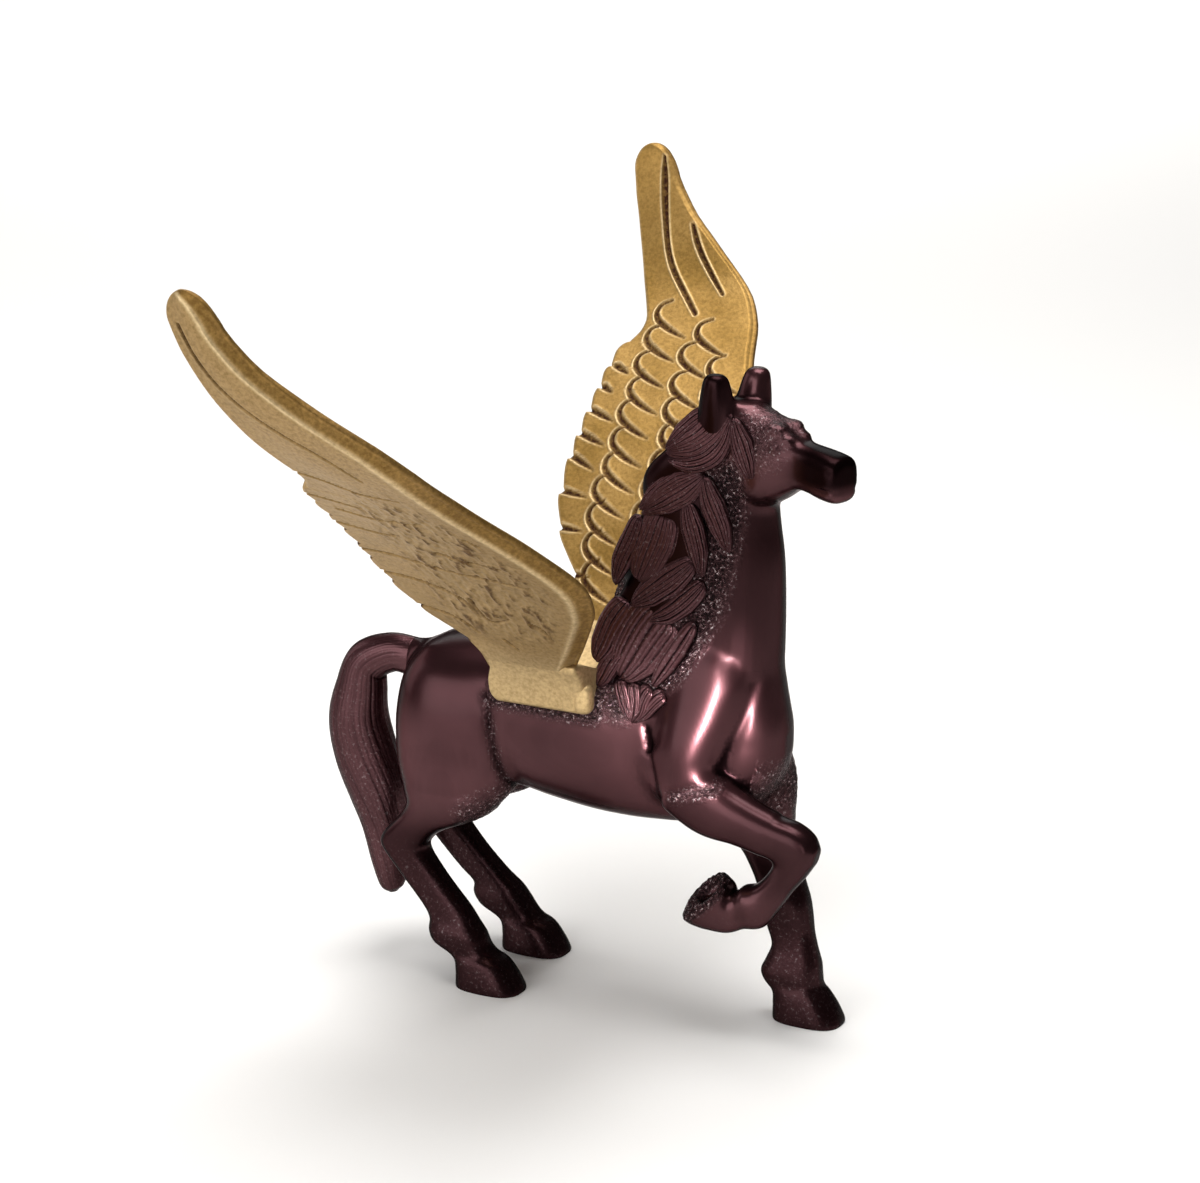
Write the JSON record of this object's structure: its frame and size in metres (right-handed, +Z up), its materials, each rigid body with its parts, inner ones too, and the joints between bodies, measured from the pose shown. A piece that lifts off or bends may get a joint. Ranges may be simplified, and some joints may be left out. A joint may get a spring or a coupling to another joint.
{
  "type": "winged horse ornament",
  "caption": "Free-standing cast horse with a raised foreleg, dark patina and an arched tail, carrying a brass saddle with raised feathered wings.",
  "frame": {"origin": "on the ground under the middle of the whole ornament", "axes": "+X towards the head, +Y towards the horse's left, +Z up"},
  "size_m": [0.1512, 0.234, 0.2003],
  "materials": {
    "patinated_brass": "dark plum-brown patina, waxed to a satin gloss",
    "satin_brass": "satin cast brass with dark engraved lines"
  },
  "bodies": {
    "root": {"body": "patinated_brass", "neck_and_head": "patinated_brass", "right_foreleg": "patinated_brass", "left_foreleg": "patinated_brass", "right_hind_leg": "patinated_brass", "left_hind_leg": "patinated_brass", "tail": "patinated_brass", "saddle": "satin_brass", "right_wing": "satin_brass", "left_wing": "satin_brass", "wing_pins": "satin_brass", "saddle_screws": "satin_brass"}
  },
  "joints": []
}
